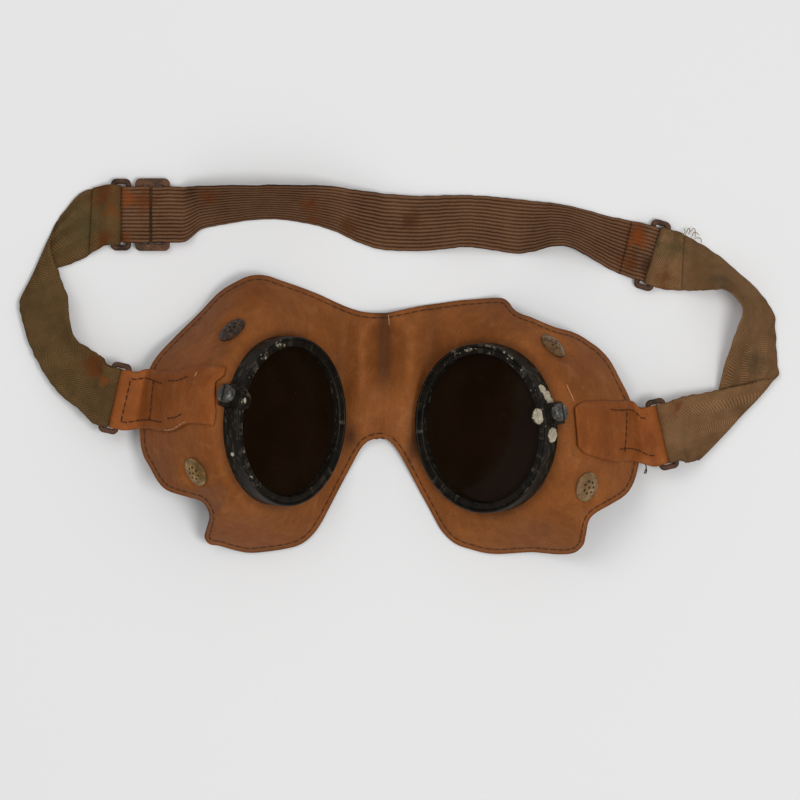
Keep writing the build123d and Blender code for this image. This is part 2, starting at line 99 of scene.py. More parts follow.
# Edge of each half of the mask, from the top of the bridge, round the temple, to the nose arch.
EDGES = {
    "left": [(0, 36.1), (-5.1, 36.2), (-9.5, 37.0), (-14.8, 39.0), (-21.5, 42.1), (-27.7, 44.5),
             (-34.2, 46.7), (-38.0, 48.0), (-41.2, 48.3), (-44.0, 47.9), (-47.0, 46.7), (-53.5, 42.9),
             (-59.9, 36.4), (-66.3, 30.0), (-72.7, 23.2), (-75.8, 18.3), (-77.8, 11.5), (-78.9, 3.0),
             (-78.9, -4.8), (-77.9, -9.6), (-75.8, -13.3), (-72.7, -18.3), (-69.5, -20.9),
             (-63.1, -22.9), (-59.4, -24.0), (-57.4, -26.0), (-56.4, -29.3), (-57.4, -33.0),
             (-58.2, -36.0), (-56.8, -38.3), (-53.5, -38.9), (-48.5, -40.4), (-43.8, -41.2),
             (-37.4, -40.7), (-30.9, -39.6), (-27.4, -38.4), (-24.3, -36.1), (-21.3, -32.3),
             (-18.0, -26.2), (-14.8, -20.0), (-11.4, -13.6), (-8.6, -8.4), (-6.6, -5.9), (-4.2, -4.6),
             (-1.9, -4.2), (0, -4.5)],
    "right": [(0, 36.1), (4.5, 37.0), (11.0, 38.4), (17.4, 39.3), (24.0, 40.2), (30.3, 40.7),
              (35.2, 41.0), (37.9, 40.7), (39.6, 39.3), (41.0, 37.3), (43.2, 35.8), (46.5, 34.6),
              (49.6, 33.2), (54.5, 31.3), (59.3, 30.1), (62.6, 28.7), (65.7, 26.7), (68.9, 24.3),
              (72.1, 20.6), (75.2, 14.8), (78.2, 8.7), (80.6, 1.0), (81.6, -8.0), (80.6, -15.1),
              (78.6, -20.1), (76.0, -22.8), (71.5, -25.4), (66.9, -28.0), (64.7, -30.6),
              (63.7, -35.8), (63.0, -38.6), (60.4, -41.0), (56.1, -41.6), (51.2, -41.3),
              (46.4, -41.0), (36.7, -41.6), (31.6, -41.2), (27.1, -40.0), (23.4, -38.8),
              (20.4, -36.8), (17.4, -33.3), (14.2, -27.4), (10.9, -21.4), (7.7, -15.3),
              (5.6, -11.4), (4.2, -9.0), (2.8, -7.0), (1.3, -5.4), (0, -4.5)],
}
VENTS = ("upper_left", "lower_left", "upper_right", "lower_right")
VENT_BED = 1.45 - 0.12     # from a washer's middle to the leather under the cap


# ---- geometry helpers ----

def smooth(t):
    t = np.clip(t, 0.0, 1.0)
    return t * t * (3 - 2 * t)


def hump(x, middle, half_width):
    return np.exp(-(((x - middle) / half_width) ** 2))


def smooth_line(points, per_span):
    """Catmull-Rom curve through the points."""
    p = np.array(points, float)
    p = np.vstack([2 * p[0] - p[1], p, 2 * p[-1] - p[-2]])
    t = np.linspace(0, 1, per_span, endpoint=False)[:, None]
    spans = []
    for a, b, c, d in zip(p[:-3], p[1:-2], p[2:-1], p[3:]):
        spans.append(0.5 * (2 * b + (c - a) * t + (2 * a - 5 * b + 4 * c - d) * t ** 2
                            + (3 * b - a - 3 * c + d) * t ** 3))
    return np.vstack(spans + [p[-2:-1]])


def even_line(points, count):
    """The same line at evenly spaced points."""
    p = np.array(points, float)
    along = np.concatenate([[0], np.cumsum(np.linalg.norm(np.diff(p, axis=0), axis=1))])
    where = np.linspace(0, along[-1], count)
    return np.column_stack([np.interp(where, along, p[:, i]) for i in range(p.shape[1])])


def unit(v):
    return v / np.linalg.norm(v, axis=-1, keepdims=True)


def mesh_object(name, points, faces, uvs=None, values=None):
    """Smooth-shaded mesh from points in millimetres. uvs and values are given per point."""
    mesh = bpy.data.meshes.new(name)
    mesh.from_pydata(((np.asarray(points) + BRIDGE) * MM).tolist(), [], [list(f) for f in faces])
    mesh.shade_smooth()
    if uvs is not None:
        corners = np.zeros(len(mesh.loops), int)
        mesh.loops.foreach_get("vertex_index", corners)
        layer = mesh.uv_layers.new(name="UVMap")
        layer.data.foreach_set("uv", np.asarray(uvs)[corners].ravel())
    for key, numbers in (values or {}).items():
        mesh.attributes.new(key, "FLOAT", "POINT").data.foreach_set("value", np.asarray(numbers, float))
    obj = bpy.data.objects.new(name, mesh)
    bpy.context.scene.collection.objects.link(obj)
    return obj


def grid_faces(rows, columns, start=0, flip=False):
    """Faces between rows of points that each close on themselves."""
    faces = []
    for r in range(rows - 1):
        for c in range(columns):
            n = (c + 1) % columns
            a, b = start + r * columns + c, start + r * columns + n
            quad = (a, b, b + columns, a + columns)
            faces.append(quad[::-1] if flip else quad)
    return faces


# ---- materials ----

RANGE_ENDS = ("From Min", "From Max", "To Min", "To Max")


class Nodes:
    """A short way to build a material's node tree."""

    def __init__(self, name):
        self.material = bpy.data.materials.new(name)
        self.material.use_nodes = True
        self.tree = self.material.node_tree
        self.shader = self.tree.nodes["Principled BSDF"]

    def add(self, kind, settings=None, **inputs):
        node = self.tree.nodes.new(kind)
        for key, value in (settings or {}).items():
            setattr(node, key, value)
        for key, value in inputs.items():
            self.plug(node, key.replace("_", " "), value)
        return node

    def plug(self, node, key, value):
        socket = node.inputs[int(key)] if key.isdigit() else node.inputs[key]
        if isinstance(value, bpy.types.NodeSocket):
            self.tree.links.new(value, socket)
        else:
            socket.default_value = value

    def set(self, **inputs):
        for key, value in inputs.items():
            self.plug(self.shader, key.replace("_", " "), value)

    def place(self, scale=(1, 1, 1)):
        coordinates = self.add("ShaderNodeTexCoord").outputs["Object"]
        mapping = self.add("ShaderNodeMapping", Scale=scale)
        self.tree.links.new(coordinates, mapping.inputs["Vector"])
        return mapping.outputs[0]

    def noise(self, scale, detail=4.0, roughness=0.55, where=None, distortion=0.0):
        node = self.add("ShaderNodeTexNoise", Scale=scale, Detail=detail, Roughness=roughness,
                        Distortion=distortion, Vector=where or self.place())
        return node.outputs["Fac"]

    def math(self, operation, a, b):
        node = self.add("ShaderNodeMath", {"operation": operation})
        self.plug(node, "0", a)
        self.plug(node, "1", b)
        return node.outputs[0]

    def times(self, a, b):
        return self.math("MULTIPLY", a, b)

    def plus(self, a, b):
        return self.math("ADD", a, b)

    def weigh(self, a, share_a, b, share_b):
        return self.plus(self.times(a, share_a), self.times(b, share_b))

    def span(self, value, low, high, to_low=0.0, to_high=1.0):
        """Maps low..high to another range, clamped."""
        node = self.add("ShaderNodeMapRange", {"clamp": True}, Value=value)
        for key, number in zip(RANGE_ENDS, (low, high, to_low, to_high)):
            node.inputs[key].default_value = number
        return node.outputs[0]

    def mix(self, factor, a, b, blend="MIX"):
        node = self.add("ShaderNodeMix", {"data_type": "RGBA", "blend_type": blend})
        for key, value in ((0, factor), (6, a), (7, b)):
            self.plug(node, str(key), value)
        return node.outputs[2]

    def attribute(self, name):
        return self.add("ShaderNodeAttribute", {"attribute_name": name}).outputs["Fac"]

    def bump(self, height, distance, strength=1.0, normal=None):
        node = self.add("ShaderNodeBump", Height=height, Distance=distance, Strength=strength)
        if normal:
            self.plug(node, "Normal", normal)
        return node.outputs[0]

    def uv_mm(self):
        """The UV map's two coordinates, in millimetres."""
        uv = self.add("ShaderNodeUVMap", {"uv_map": "UVMap"}).outputs[0]
        parts = self.add("ShaderNodeSeparateXYZ", Vector=uv)
        return [self.times(parts.outputs[k], 1000.0) for k in (0, 1)]

    def cup_place(self, side):
        """Distances in millimetres from the middle of a cup's seat: to the temple, forehead and outwards."""
        seat, axis = EYES[side]
        offset = self.add("ShaderNodeVectorMath", {"operation": "SUBTRACT"})
        self.plug(offset, "0", self.add("ShaderNodeTexCoord").outputs["Object"])
        self.plug(offset, "1", tuple((seat + BRIDGE) * MM))
        reads = []
        for way in (*cup_axes(side), axis):
            dot = self.add("ShaderNodeVectorMath", {"operation": "DOT_PRODUCT"})
            self.plug(dot, "0", offset.outputs[0])
            self.plug(dot, "1", tuple(way / MM))
            reads.append(dot.outputs["Value"])
        return reads

    def distance_to(self, place):
        """Distance in metres from a place given in millimetres about the bridge."""
        gap = self.add("ShaderNodeVectorMath", {"operation": "DISTANCE"})
        self.plug(gap, "0", self.add("ShaderNodeTexCoord").outputs["Object"])
        self.plug(gap, "1", tuple((np.array(place, float) + BRIDGE) * MM))
        return gap.outputs["Value"]

    def patch(self, place, size, ragged=0.55):
        """1 near a place, 0 past about that size in millimetres, uneven at the edge."""
        rough = self.times(self.noise(700, 5, 0.65), ragged * size * MM * 2)
        gap = self.plus(self.distance_to(place), rough)
        return self.span(gap, size * MM * (1 + ragged * 0.75), size * MM * (1 + ragged), 1.0, 0.0)

    def stained(self, colour, stains):
        """The colour with soft stains: a place in millimetres, a radius and a colour for each."""
        rough = self.noise(330, 6, 0.72)
        for place, size, tint in stains:
            uneven = self.times(rough, size * MM * 2.6)
            gap = self.plus(self.distance_to(place), uneven)
            amount = self.span(gap, size * MM * 1.5, size * MM * 2.2, 0.72, 0.0)
            colour = self.mix(amount, colour, tint)
        return colour

    def shaded(self, colour, shade):
        grey = self.add("ShaderNodeCombineColor", Red=shade, Green=shade, Blue=shade).outputs[0]
        return self.mix(1.0, colour, grey, "MULTIPLY")


def rgb(red, green, blue):
    return (red, green, blue, 1.0)


def leather_material(name, light, dark):
    m = Nodes(name)
    patches = m.noise(45, 5, 0.6)
    colour = m.mix(m.span(patches, 0.35, 0.65), dark, light)
    grain = m.add("ShaderNodeTexVoronoi", {"feature": "SMOOTH_F1"}, Scale=1500.0, Smoothness=0.6,
                  Vector=m.place()).outputs["Distance"]
    wrinkles = m.noise(330, 6, 0.6, m.place((1, 0.45, 1)), 0.4)
    rub = m.span(m.noise(180, 5, 0.65), 0.56, 0.74)
    colour = m.mix(m.times(rub, 0.35), colour, rgb(0.32, 0.14, 0.055))
    pores = m.span(grain, 0.1, 0.5, 0.9, 1.06)
    shade = m.times(pores, m.span(wrinkles, 0.3, 0.7, 0.86, 1.12))
    colour = m.shaded(colour, shade)
    # Darkens towards dark brown by the mask's attribute: painted shade in the crease, the hollows and round
    # the cups, and a darker seam, edge and nose arch.
    colour = m.mix(m.attribute("dirt_and_painted_shade"), colour, rgb(0.035, 0.016, 0.008))
    bump = m.bump(grain, 0.00012, 0.5)
    bump = m.bump(wrinkles, 0.0004, 0.5, bump)
    m.set(Base_Color=colour, Roughness=m.span(patches, 0.3, 0.7, 0.52, 0.66), Normal=bump,
          Specular_IOR_Level=0.06)
    return m.material


def thread_material(name, colour, light):
    m = Nodes(name)
    strands = m.noise(2600, 3, 0.6)
    m.set(Base_Color=m.mix(strands, colour, light), Roughness=0.85, Specular_IOR_Level=0.2,
          Normal=m.bump(strands, 0.0001))
    return m.material


# ---- the eyes: the cup places, read from the frame ----

def eye_place(side):
    """Middle of the leather seat under a cup, and the direction out of the cup."""
    joint = next(j for j in frame["joints"] if j["name"] == f"bezel_slide_{side}")
    axis = np.array(joint["axis"], float)
    low, high = (np.array(corner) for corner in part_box(f"lens_{side}"))
    return (low + high) / 2 / MM - BRIDGE - axis * LENS_MIDDLE, axis


EYES = {side: eye_place(side) for side in ("left", "right")}


def cup_axes(side):
    """Directions in a cup's seat: up its slope, towards the temple, and across it, to the forehead."""
    axis = EYES[side][1]
    climb = unit(np.array([0.0, 0.0, 1.0]) - axis * axis[2])
    forehead = np.cross(axis, climb)
    return climb, forehead * np.sign(forehead[1])


# ---- mask ----

def seat_points(side, angles, radius=None):
    """Points on the tilted seat in the plan directions given, at the seat's own radius or another."""
    seat, axis = EYES[side]
    across = np.column_stack([np.cos(angles), np.sin(angles), np.zeros_like(angles)])
    along = across.copy()
    along[:, 2] = -(across @ axis) / axis[2]
    lean = unit(axis[:2])
    uphill = np.clip(-(across[:, :2] @ lean), 0, None)
    reach = np.full_like(angles, radius) if radius else SEAT_R + SEAT_SHOULDER * uphill
    return seat + along * (reach / np.linalg.norm(along, axis=1))[:, None]


def edge_top(x, y):
    temple = smooth((np.abs(x) - 58) / 18)
    bridge = smooth((14 - np.abs(x)) / 14)
    arches = sum(height * np.exp(-0.5 * ((x - at[0]) ** 2 + (y - at[1]) ** 2) / ARCH_SPREAD ** 2)
                 for at, height in EDGE_ARCHES)
    return LEATHER + TEMPLE_RISE * temple + BRIDGE_RISE * bridge + arches


def half_outline(side):
    """Points on one half's edge, then back up the crease of the nose bridge, with heights."""
    edge = even_line(smooth_line(EDGES[side], 12), SPOKES)
    rise = np.linspace(edge[-1, 1], edge[0, 1], CREASE + 2)[1:-1]
    points = np.vstack([edge, np.column_stack([np.zeros(CREASE), rise])])
    return np.column_stack([points, edge_top(points[:, 0], points[:, 1])])


def relief(x, y, edge_distance):
    """Height that pressing, folding and wear add to the plain slope of the leather."""
    top = smooth((y + 2) / 20)
    ridges = 2.6 * hump(x, -7.8, 3.3) + 2.6 * hump(x, 7.6, 3.6)
    crease = -2.2 * hump(x, -0.6, 3.0) * smooth((y - 2) / 16)
    hollows = -1.2 * hump(x, -13.8, 2.8) - 1.2 * hump(x, 13.9, 3.2)
    inside = smooth((edge_distance - 0.5) / 6)
    bridge = (ridges * (0.35 + 0.65 * top) + crease + hollows * top) * inside
    seam = -0.14 * hump(edge_distance, STITCH_INSET, 0.4)
    roll = -0.15 * (1 - smooth(edge_distance / 0.6)) ** 2
    return bridge + seam + roll


def outline_distance(x, y):
    """Distance in plan to the mask's edge."""
    line = np.vstack([OUTLINES["left"][:SPOKES, :2], OUTLINES["right"][:SPOKES, :2][::-1]])
    best = np.full(x.shape, 1e9)
    for p, q in zip(line[:-1], line[1:]):
        d = q - p
        length = d @ d
        if length < 1e-9:
            continue
        t = np.clip(((x - p[0]) * d[0] + (y - p[1]) * d[1]) / length, 0, 1)
        best = np.minimum(best, np.hypot(x - p[0] - t * d[0], y - p[1] - t * d[1]))
    return best


def wander(points, scale, amount):
    """Slow uneven height, the same each run."""
    return np.array([noise.noise(Vector(p) / scale) for p in points]) * amount


OUTLINES = {side: half_outline(side) for side in EYES}
SLOPE = np.concatenate([np.linspace(0, 0.86, 22), np.linspace(0.875, 0.985, 14), [0.993, 1.0]])


def half_mask(side):
    """Rings of points from the hole under the cup to the edge: an array [ring, spoke, xyz]."""
    seat = EYES[side][0]
    outline = OUTLINES[side]
    angles = np.arctan2(outline[:, 1] - seat[1], outline[:, 0] - seat[0])
    inner = seat_points(side, angles)
    rings = [seat_points(side, angles, radius) for radius in (LEATHER_HOLE_R, 26.2, 27.3)]
    for u in SLOPE:
        fall = max(0.0, 1 - u / HEM_START)
        ring = inner + (outline - inner) * u
        ring[:, 2] = outline[:, 2] + (inner[:, 2] - outline[:, 2]) * fall * (1 + SWELL * (1 - fall))
        rings.append(ring)
    rings = np.array(rings)
    for _ in range(10):
        rings[3:8] = (rings[2:7] + 2 * rings[3:8] + rings[4:9]) / 4
    return rings


def dirt_on_mask(x, y, edge_distance):
    # Darkening of the leather's colour, 0 to 1. The crease, the hollows beside the bridge's ridges and the
    # ring where the leather meets each cup are painted shade; the stitch line, the edge and two patches by
    # the nose arch are darkened too.
    seam = 0.32 * hump(edge_distance, STITCH_INSET, 0.26)
    edge = 0.3 * (1 - smooth(edge_distance / 0.7))
    nose = 0.75 * hump(x, -11.2, 2.2) * hump(y, -3.6, 4.2) + 0.75 * hump(x, 8.6, 2.0) * hump(y, -7.0, 5.5)
    crease = 0.7 * hump(x, -0.7, 2.6) * smooth((y - 5) / 14)
    hollows = 0.32 * (hump(x, -14.5, 3.6) + hump(x, 14.6, 3.6)) * smooth((y - 8) / 14)
    cups = 0
    for seat, axis in EYES.values():
        offset = np.column_stack([x, y]) - seat[:2]
        lean = unit(axis[:2])
        run = offset @ lean / axis[2]
        side = offset @ np.array([-lean[1], lean[0]])
        cups = cups + 0.4 * hump(np.hypot(run, side), 27.6, 1.5)
    return np.clip(seam + edge + nose + crease + hollows + cups, 0, 1)


def seat_under_vents(points):
    """Moves the leather's points to lie flat just under each vent's cap."""
    for name in VENTS:
        washer = frame["nodes"][f"vent_washer_{name}"]
        ring = np.array([washer.matrix_world @ v.co for v in washer.data.vertices]) / MM - BRIDGE
        middle = ring.mean(axis=0)
        out = np.linalg.svd(ring - middle)[2][2]
        out = out * np.sign(out[2])
        offset = points - (middle + out * VENT_BED)
        height = offset @ out
        away = np.linalg.norm(offset - height[:, None] * out, axis=1)
        near = (1 - smooth((away - 5.0) / 3.5)) * (np.abs(height) < 7)
        points -= out * (near * height)[:, None]


def build_mask():
    points, faces = [], []
    for side, flip in (("left", False), ("right", True)):
        rings = half_mask(side)
        start = sum(len(p) for p in points)
        faces += grid_faces(len(rings), rings.shape[1], start, flip)
        points.append(rings.reshape(-1, 3))
    points = np.vstack(points)
    x, y = points[:, 0].copy(), points[:, 1].copy()
    distance = outline_distance(x, y)
    fade = smooth((distance - 1) / 6)
    points[:, 2] += relief(x, y, distance) + fade * (wander(points, 13, 0.5) + wander(points, 4.5, 0.12))
    seat_under_vents(points)
    points[:, 2] = np.maximum(points[:, 2], LOWEST_FACE)
    mask = mesh_object("leather_mask", points, faces, values={"dirt_and_painted_shade": dirt_on_mask(x, y, distance)})
    mesh = mask.data
    fix_normals(mesh, merge=0.00003)
    if sum(face.normal.z for face in mesh.polygons) < 0:
        mesh.flip_normals()
    surface = BVHTree.FromPolygons([v.co for v in mesh.vertices], [f.vertices for f in mesh.polygons])
    shell = mask.modifiers.new("thickness", "SOLIDIFY")
    shell.thickness = LEATHER * MM
    shell.offset = -1
    shell.use_even_offset = True
    shell.thickness_clamp = 1.0
    round_edge = mask.modifiers.new("rounding", "BEVEL")
    round_edge.width = 0.0004
    round_edge.segments = 2
    round_edge.limit_method = "ANGLE"
    round_edge.angle_limit = radians(62)
    mask.data.materials.append(LEATHERS["mask"])
    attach(mask, "root")
    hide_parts("mask_leather")
    return surface


def surface_rest(surface, x, y, clearance=0.0):
    """Height in millimetres a clearance off the leather's outer face, or None past its edge."""
    at = (np.array([x, y, 100.0]) + BRIDGE) * MM
    hit, normal = surface.ray_cast(Vector(at), Vector((0, 0, -1)))[:2]
    return hit.z / MM + clearance / max(abs(normal.z), 0.45) if hit else None


# ---- threads ----

def strand(points, radius):
    """Tube through the points, narrower at both ends: (points, faces)."""
    p = np.array(points, float)
    along = unit(np.gradient(p, axis=0))
    side = unit(np.cross(along, [0.0, 0.31, 0.95]))
    up = np.cross(side, along)
    t = np.linspace(-1, 1, len(p))
    size = radius * (1 - 0.5 * t ** 4)
    rings = []
    for k in range(STRAND_SIDES):
        turn = 2 * pi * k / STRAND_SIDES
        rings.append(p + (side * cos(turn) + up * sin(turn)) * size[:, None])
    points = np.array(rings).transpose(1, 0, 2).reshape(-1, 3)
    faces = grid_faces(len(p), STRAND_SIDES)
    faces.append(tuple(range(STRAND_SIDES))[::-1])
    faces.append(tuple(range(len(points) - STRAND_SIDES, len(points))))
    return points, faces


def strands_object(name, lines, radius, material, body="root"):
    points, faces, count = [], [], 0
    for line in lines:
        p, f = strand(line, radius)
        points.append(p)
        faces += [tuple(i + count for i in face) for face in f]
        count += len(p)
    obj = mesh_object(name, np.vstack(points), faces)
    obj.data.materials.append(material)
    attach(obj, body)
    return obj


def stitches_along(line, lift=0.12, length=STITCH_LENGTH, pitch=STITCH_PITCH):
    """Short arched threads along a line of points on a surface."""
    p = np.array(line, float)
    along = np.concatenate([[0], np.cumsum(np.linalg.norm(np.diff(p, axis=0), axis=1))])
    lines = []
    for start in np.arange(0.1, along[-1] - length * 0.9, pitch):
        where = np.linspace(start, start + length, 7)
        stitch = np.column_stack([np.interp(where, along, p[:, i]) for i in range(3)])
        arch = 1 - np.linspace(-1, 1, 7) ** 2
        stitch[:, 2] += lift * arch - 0.1
        lines.append(stitch)
    return lines


def build_mask_stitching(surface):
    lines = []
    for side in EYES:
        edge = OUTLINES[side][:SPOKES, :2]
        along = unit(np.gradient(edge, axis=0))
        inward = np.column_stack([-along[:, 1], along[:, 0]])
        if side == "right":
            inward = -inward
        run = []
        for x, y in edge + inward * STITCH_INSET:
            z = surface_rest(surface, x, y)
            if z is not None:
                run.append((x, y, z))
        lines += stitches_along(run)
    stitching = strands_object("mask_stitching", lines, THREAD_R, THREADS["dark"])
    nick = [(0.8 + 0.3 * t, 35.6 - 3.4 * t) for t in np.linspace(0, 1, 12)]
    scratch = [(57.3 + 2.4 * t, 13.0 - 5.4 * t) for t in np.linspace(0, 1, 16)]
    pale = [[(x, y, surface_rest(surface, x, y) + 0.05) for x, y in line] for line in (nick, scratch)]
    strands_object("loose_threads_mask", pale, 0.17, THREADS["pale"])


# ---- bands: the tabs, the webbing and the elastic ----

# Wire loops: middle, and the compass direction of their long bars.
TAB_RINGS = {"left": ((-87.0, 8.7, 9.2), 77.5), "right": ((88.7, -2.9, 9.2), 103.1)}
STRAP_RINGS = {"left": ((-85.4, 67.8, 2.3), 90.0), "right": ((85.85, 54.75, 2.3), 73.6)}

# Pairs of points on the two edges of each strap, from the mask's loop to the strap's loop.
WEBBINGS = {
    "left": [((-97.0, 3.6, 9.4), (-90.8, 21.4, 9.5)), ((-104.2, 9.4, 6.5), (-94.8, 24.4, 9.0)),
             ((-111.3, 19.0, 4.0), (-99.7, 28.0, 11.0)), ((-115.5, 28.0, 3.2), (-101.4, 33.2, 11.0)),
             ((-117.2, 34.5, 2.9), (-102.4, 41.2, 8.5)), ((-117.8, 38.3, 2.8), (-104.9, 48.0, 5.0)),
             ((-117.6, 40.3, 1.9), (-108.2, 58.3, 2.2)), ((-115.4, 42.9, 0.9), (-107.0, 63.5, 0.9)),
             ((-108.3, 49.3, 0.8), (-103.2, 69.6, 0.8)), ((-98.7, 53.2, 0.8), (-97.4, 75.5, 0.8)),
             ((-93.4, 56.2, 0.7), (-92.6, 76.8, 0.7))],
    "right": [((94.5, 8.8, 9.3), (96.4, -12.2, 9.3)), ((106.0, 11.0, 6.0), (98.6, -11.5, 6.5)),
              ((117.4, 13.5, 3.6), (99.9, -11.3, 4.4)), ((126.3, 15.8, 1.9), (101.3, -10.6, 2.6)),
              ((126.2, 19.0, 0.8), (104.0, -5.0, 1.0)), ((126.0, 24.2, 0.8), (105.8, 4.8, 1.4)),
              ((125.5, 30.6, 0.8), (108.4, 17.0, 6.0)), ((124.6, 36.4, 0.8), (112.6, 30.6, 14.0)),
              ((120.8, 42.0, 0.8), (114.3, 37.5, 17.5)), ((116.0, 47.0, 0.8), (111.8, 41.4, 18.0)),
              ((107.6, 54.1, 0.8), (107.8, 43.6, 14.5)), ((101.2, 58.6, 0.8), (101.2, 43.2, 7.5)),
              ((95.6, 61.7, 0.7), (94.6, 43.4, 1.8))],
}
# The elastic from left to right, upper edge first. It stands on edge over the left eye.
ELASTIC_PATH = [((-65.5, 76.8, 3.8), (-65.5, 58.8, 3.8)),
                ((-60.0, 76.8, 10.6), (-60.0, 63.0, 1.0)), ((-50.0, 76.8, 14.6), (-50.0, 65.3, 0.8)),
                ((-38.0, 76.8, 16.0), (-38.0, 66.6, 0.8)), ((-27.0, 76.7, 14.6), (-27.0, 65.4, 0.8)),
                ((-18.0, 76.6, 12.0), (-18.0, 63.1, 0.8)), ((-8.0, 75.4, 8.0), (-9.0, 59.0, 0.8)),
                ((-1.9, 74.7, 4.4), (-3.5, 57.0, 1.0)), ((11.0, 73.8, 2.2), (11.0, 56.1, 1.6)),
                ((27.1, 74.1, 1.0), (27.1, 57.2, 5.0)), ((43.2, 72.7, 1.6), (42.6, 55.3, 1.6)),
                ((59.2, 70.5, 1.2), (57.8, 57.4, 10.5)), ((72.1, 67.3, 0.9), (68.6, 52.2, 4.0)),
                ((76.8, 66.3, 0.9), (73.4, 49.6, 1.2))]
# Edges of the tabs in plan, lower and upper, from the loop to the inner end.
TAB_EDGES = {
    "left": [((-79.3, -1.2), (-78.3, 17.7)), ((-71.6, -1.8), (-70.6, 17.3)),
             ((-66.8, -1.5), (-65.2, 17.3)), ((-63.1, 0.5), (-62.0, 18.4)),
             ((-58.6, 0.5), (-58.2, 19.0)), ((-54.3, -0.1), (-50.4, 18.7))],
    "right": [((81.0, -11.9), (80.0, 7.1)), ((72.6, -11.6), (73.5, 7.6)),
              ((66.4, -9.9), (67.4, 7.8)), ((62.4, -8.2), (61.4, 6.9)), ((61.0, -6.7), (59.9, 5.6))],
}


def pairs(path):
    """A row of six numbers for each pair of edge points."""
    return [np.concatenate(p) for p in path]


def bar(ring, outward):
    """Middle of one long bar of a loop, the way that a band leaves it, and the way along it."""
    middle, angle = np.array(ring[0]), radians(ring[1])
    along = np.array([cos(angle), sin(angle), 0.0])
    out = np.cross(along, [0.0, 0.0, 1.0]) * (outward if middle[0] > 0 else -outward)
    return middle + out * BAR_SPACING / 2, out, along


def hook(ring, outward, width, thickness, path, tail, over, flip=False):
    """Edge pairs of a band's end round a loop: its tail, the turn round the bar, and the way out.

    The tail lies along the band, on top of it or under it. path is the band past the loop."""
    origin, out, along = bar(ring, outward)
    side = 1 if over else -1
    half = along * (width / 2) * (-1 if flip else 1)
    reach = WIRE_R + WRAP_CLEARANCE + thickness / 2

    def pair(run, rise):
        middle = origin + out * run + np.array([0.0, 0.0, rise])
        return np.concatenate([middle - half, middle + half])

    turn = [pair(cos(a) * (reach + WINDOW_BULGE), sin(a) * reach * side)
            for a in np.radians(range(90, 271, 30))]
    lead = [turn[-1], pair(LEVEL_RUN, -side * reach * 0.92)] + pairs(path[:3])
    rows = smooth_rows(lead, 0.5)
    along_rows = row_lengths(rows)
    tails = []
    for distance in np.linspace(tail, 4.2, 3):
        k = int(np.searchsorted(along_rows, distance))
        edge = rows[k, 3:] - rows[k, :3]
        normal = unit(np.cross(edge, rows[k + 1, :3] - rows[k - 1, :3]))
        normal = normal * np.sign(normal[2]) * side * (thickness + 0.12)
        tails.append(rows[k] + np.concatenate([normal, normal]))
    return tails + turn + lead[1:2]


def row_lengths(rows):
    steps = np.linalg.norm(np.diff(rows, axis=0).reshape(-1, 2, 3), axis=2).mean(axis=1)
    return np.concatenate([[0.0], np.cumsum(steps)])


def smooth_rows(rows, spacing):
    """Smooth curve through rows of edge pairs, which may be unevenly spaced."""
    p = np.array(rows, float)
    length = np.diff(row_lengths(p))[:, None]
    slope = np.diff(p, axis=0) / length
    inner = (slope[:-1] * length[1:] + slope[1:] * length[:-1]) / (length[1:] + length[:-1])
    tangent = np.vstack([slope[:1], inner, slope[-1:]])
    spans = []
    for k in range(len(length)):
        steps = max(2, int(np.ceil(length[k, 0] / spacing)))
        t = np.linspace(0, 1, steps, endpoint=False)[:, None]
        run = length[k, 0]
        spans.append(p[k] * (2 * t ** 3 - 3 * t ** 2 + 1) + tangent[k] * run * (t ** 3 - 2 * t ** 2 + t)
                     + p[k + 1] * (3 * t ** 2 - 2 * t ** 3) + tangent[k + 1] * run * (t ** 3 - t ** 2))
    return np.vstack(spans + [p[-1:]])


def spread(rows, columns):
    """Points [row, column, xyz] across a band."""
    t = np.linspace(0, 1, columns + 1)[None, :, None]
    return rows[:, None, :3] * (1 - t) + rows[:, None, 3:] * t


def grid_normals(grid):
    return unit(np.cross(grid[:, -1:] - grid[:, :1], np.gradient(grid, axis=0)))


def band_object(name, grid, lengths, width, thickness, material, relief=None):
    """Closed band of cloth or leather round a grid of points, with its UVs in metres."""
    rows, columns = grid.shape[:2]
    across = np.linspace(0, 1, columns)
    half = thickness / 2 * (1 - 0.45 * np.abs(2 * across - 1) ** 10)
    normals = grid_normals(grid)
    lift = half[None, :] + (relief if relief is not None else 0)
    upper = grid + normals * lift[:, :, None]
    lower = grid - normals * lift[:, :, None]
    points = np.concatenate([upper, lower[:, ::-1]], axis=1)
    faces = grid_faces(rows, 2 * columns)
    for start, flip in ((0, False), ((rows - 1) * 2 * columns, True)):
        for c in range(columns - 1):
            face = (start + c, start + c + 1, start + 2 * columns - 2 - c, start + 2 * columns - 1 - c)
            faces.append(face if flip else face[::-1])
    u = np.repeat(lengths[:, None] * MM, 2 * columns, axis=1)
    v = np.concatenate([across, across[::-1]]) * width * MM
    uvs = np.stack([u, np.repeat(v[None, :], rows, axis=0)], axis=2)
    obj = mesh_object(name, points.reshape(-1, 3), faces, uvs.reshape(-1, 2))
    fix_normals(obj.data)
    obj.data.materials.append(material)
    return obj


def fix_normals(mesh, merge=None):
    work = bmesh.new()
    work.from_mesh(mesh)
    if merge:
        bmesh.ops.remove_doubles(work, verts=work.verts, dist=merge)
    bmesh.ops.recalc_face_normals(work, faces=work.faces)
    work.to_mesh(mesh)
    work.free()


def ruffle(grid, scale, amount, seed, ends):
    """Small uneven bends along a band, none at its ends."""
    rows = grid.shape[0]
    fade = smooth(np.minimum(np.arange(rows), np.arange(rows)[::-1]) / ends)
    flat = grid.reshape(-1, 3) + seed
    bends = wander(flat, scale, amount).reshape(grid.shape[:2])
    return grid + grid_normals(grid) * (bends * fade[:, None])[:, :, None]


